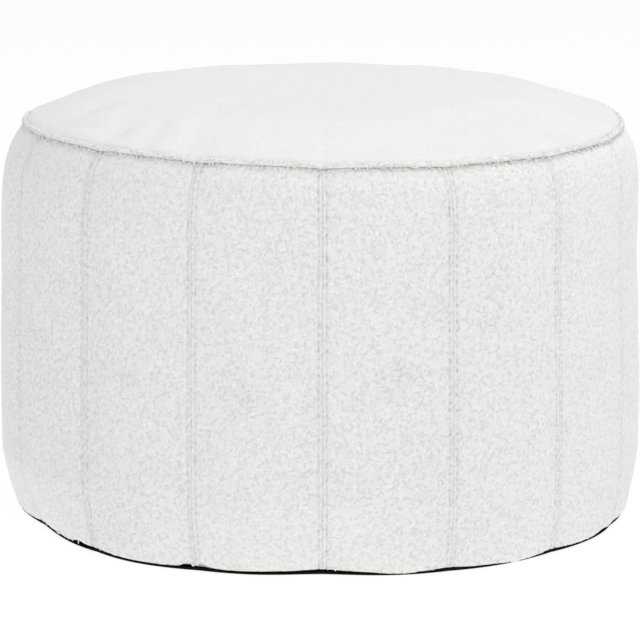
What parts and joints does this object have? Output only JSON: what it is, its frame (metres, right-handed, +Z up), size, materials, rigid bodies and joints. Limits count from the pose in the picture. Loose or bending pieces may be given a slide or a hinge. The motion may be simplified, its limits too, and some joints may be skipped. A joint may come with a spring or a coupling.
{
  "type": "bean bag footstool",
  "caption": "Low round drum footstool in looped white fleece, with a crowned top, a rolled welt, stitched side panels and a dark base.",
  "frame": {"origin": "centre of the underside, on the surface that the footstool stands on", "axes": "+Z up; the seam that faces the front lies towards -Y, and +X is to the right of it"},
  "size_m": [0.501, 0.501, 0.3307],
  "materials": {
    "fleece": "off-white looped fleece with short curls, matt",
    "welt_fleece": "the same off-white fleece rolled into a welt, matt",
    "base_cloth": "black close-woven base cloth, matt"
  },
  "bodies": {
    "root": {"filled_top_panel": "fleece", "side_panel_01": "fleece", "side_panel_02": "fleece", "side_panel_03": "fleece", "side_panel_04": "fleece", "side_panel_05": "fleece", "side_panel_06": "fleece", "side_panel_07": "fleece", "side_panel_08": "fleece", "side_panel_09": "fleece", "side_panel_10": "fleece", "side_panel_11": "fleece", "side_panel_12": "fleece", "side_panel_13": "fleece", "side_panel_14": "fleece", "side_panel_15": "fleece", "side_panel_16": "fleece", "top_welt": "welt_fleece", "base_panel": "base_cloth"}
  },
  "joints": []
}
